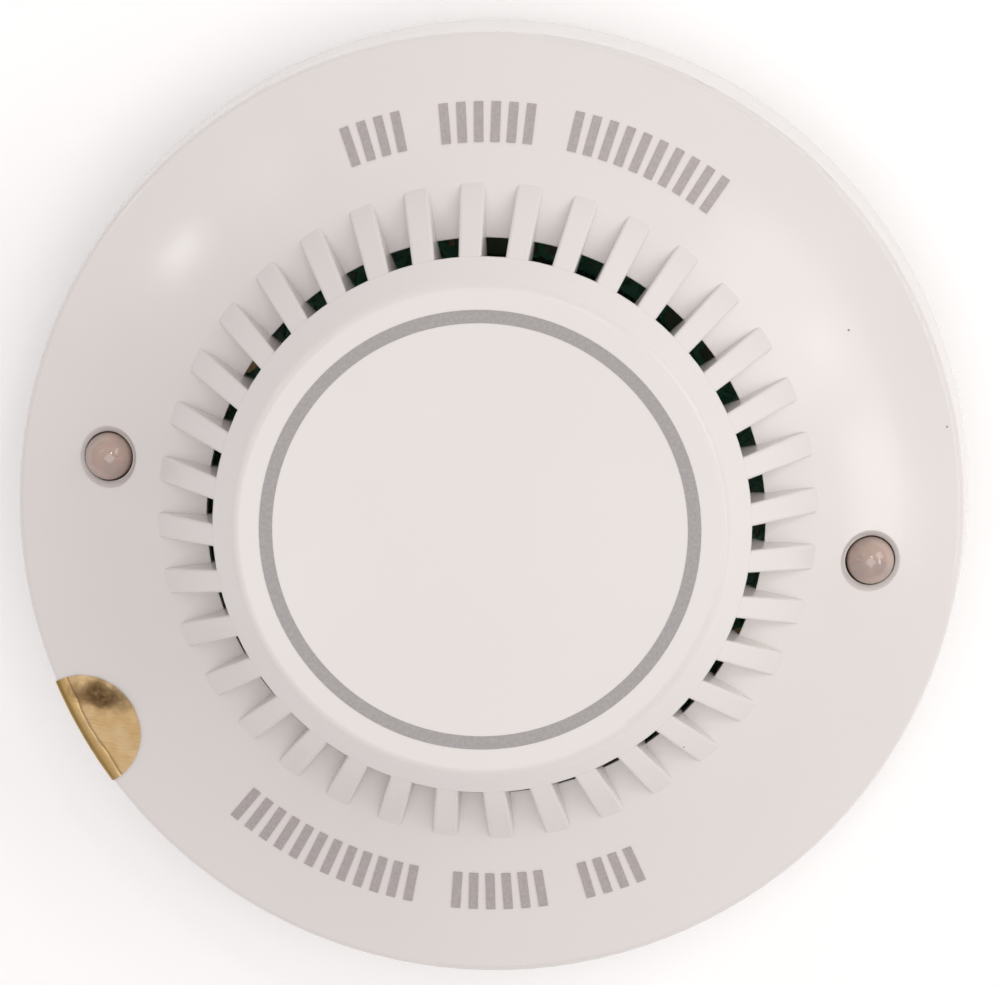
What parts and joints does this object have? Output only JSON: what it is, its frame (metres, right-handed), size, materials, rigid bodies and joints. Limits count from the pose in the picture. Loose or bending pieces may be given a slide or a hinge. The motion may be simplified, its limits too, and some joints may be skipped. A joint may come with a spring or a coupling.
{
  "type": "smoke detector",
  "caption": "Round ceiling smoke detector with a flared white cover, finned smoke inlets round a flat cap, indicator lights and a twist-lock mounting base.",
  "frame": {"origin": "centre of the mounting base's back face, on the detector's axis", "axes": "+Z from the ceiling into the room along the detector's axis; the two indicator LEDs lie on the X axis"},
  "size_m": [0.1, 0.1, 0.0393],
  "materials": {
    "cover_white": "glossy flange, fine matte cap",
    "print_grey": "flat printing ink",
    "gold_foil": "creased metallised film",
    "led_lens": "clear diffused epoxy",
    "tinned_lead": "tinned wire",
    "emitter_lens": "pale blue clear epoxy",
    "filter_lens": "dark daylight-filter epoxy",
    "tinned_sheet": "tinned sheet",
    "chamber_black": "matte black",
    "screen_steel": "blackened etched sheet",
    "board_green": "green solder resist",
    "chip_black": "moulded epoxy",
    "resistor_black": "glazed ceramic",
    "capacitor_tan": "ceramic",
    "can_sleeve": "shrunk film sleeve",
    "reed_glass": "drawn glass",
    "housing_white": "plain moulded",
    "brass": "rolled strip",
    "screw_steel": "zinc plated",
    "base_white": "fine spark-eroded texture"
  },
  "bodies": {
    "base": {"base_body": "base_white", "base_contact_1": "brass", "base_contact_2": "brass", "base_contact_3": "brass", "base_contact_4": "brass", "clamp_plates": "screw_steel", "terminal_screws": "screw_steel"},
    "head": {"outer_cover": "cover_white", "printed_ring": "print_grey", "printed_marks": "print_grey", "tamper_seal": "gold_foil", "indicator_led_1": "led_lens", "indicator_led_2": "led_lens", "led_leads": "tinned_lead", "ir_emitter": "emitter_lens", "photodiode": "filter_lens", "photodiode_shield": "tinned_sheet", "chamber_base": "chamber_black", "chamber_lid": "chamber_black", "insect_screen": "screen_steel", "circuit_board": "board_green", "controller_chip": "chip_black", "amplifier_chip": "chip_black", "chip_resistors": "resistor_black", "chip_capacitors": "capacitor_tan", "rectifier_diodes": "chip_black", "electrolytic_capacitor_1": "can_sleeve", "electrolytic_capacitor_2": "can_sleeve", "reed_switch": "reed_glass", "rear_housing": "housing_white", "contact_blade_1": "brass", "contact_blade_2": "brass", "contact_blade_3": "brass", "contact_blade_4": "brass", "contact_rivets": "brass", "housing_screws": "screw_steel"}
  },
  "joints": [
    {"name": "head_twist", "type": "hinge", "parent": "base", "child": "head", "pos_m": [0, 0, 0], "axis": [0, 0, 1], "range_deg": [0, 15]}
  ]
}
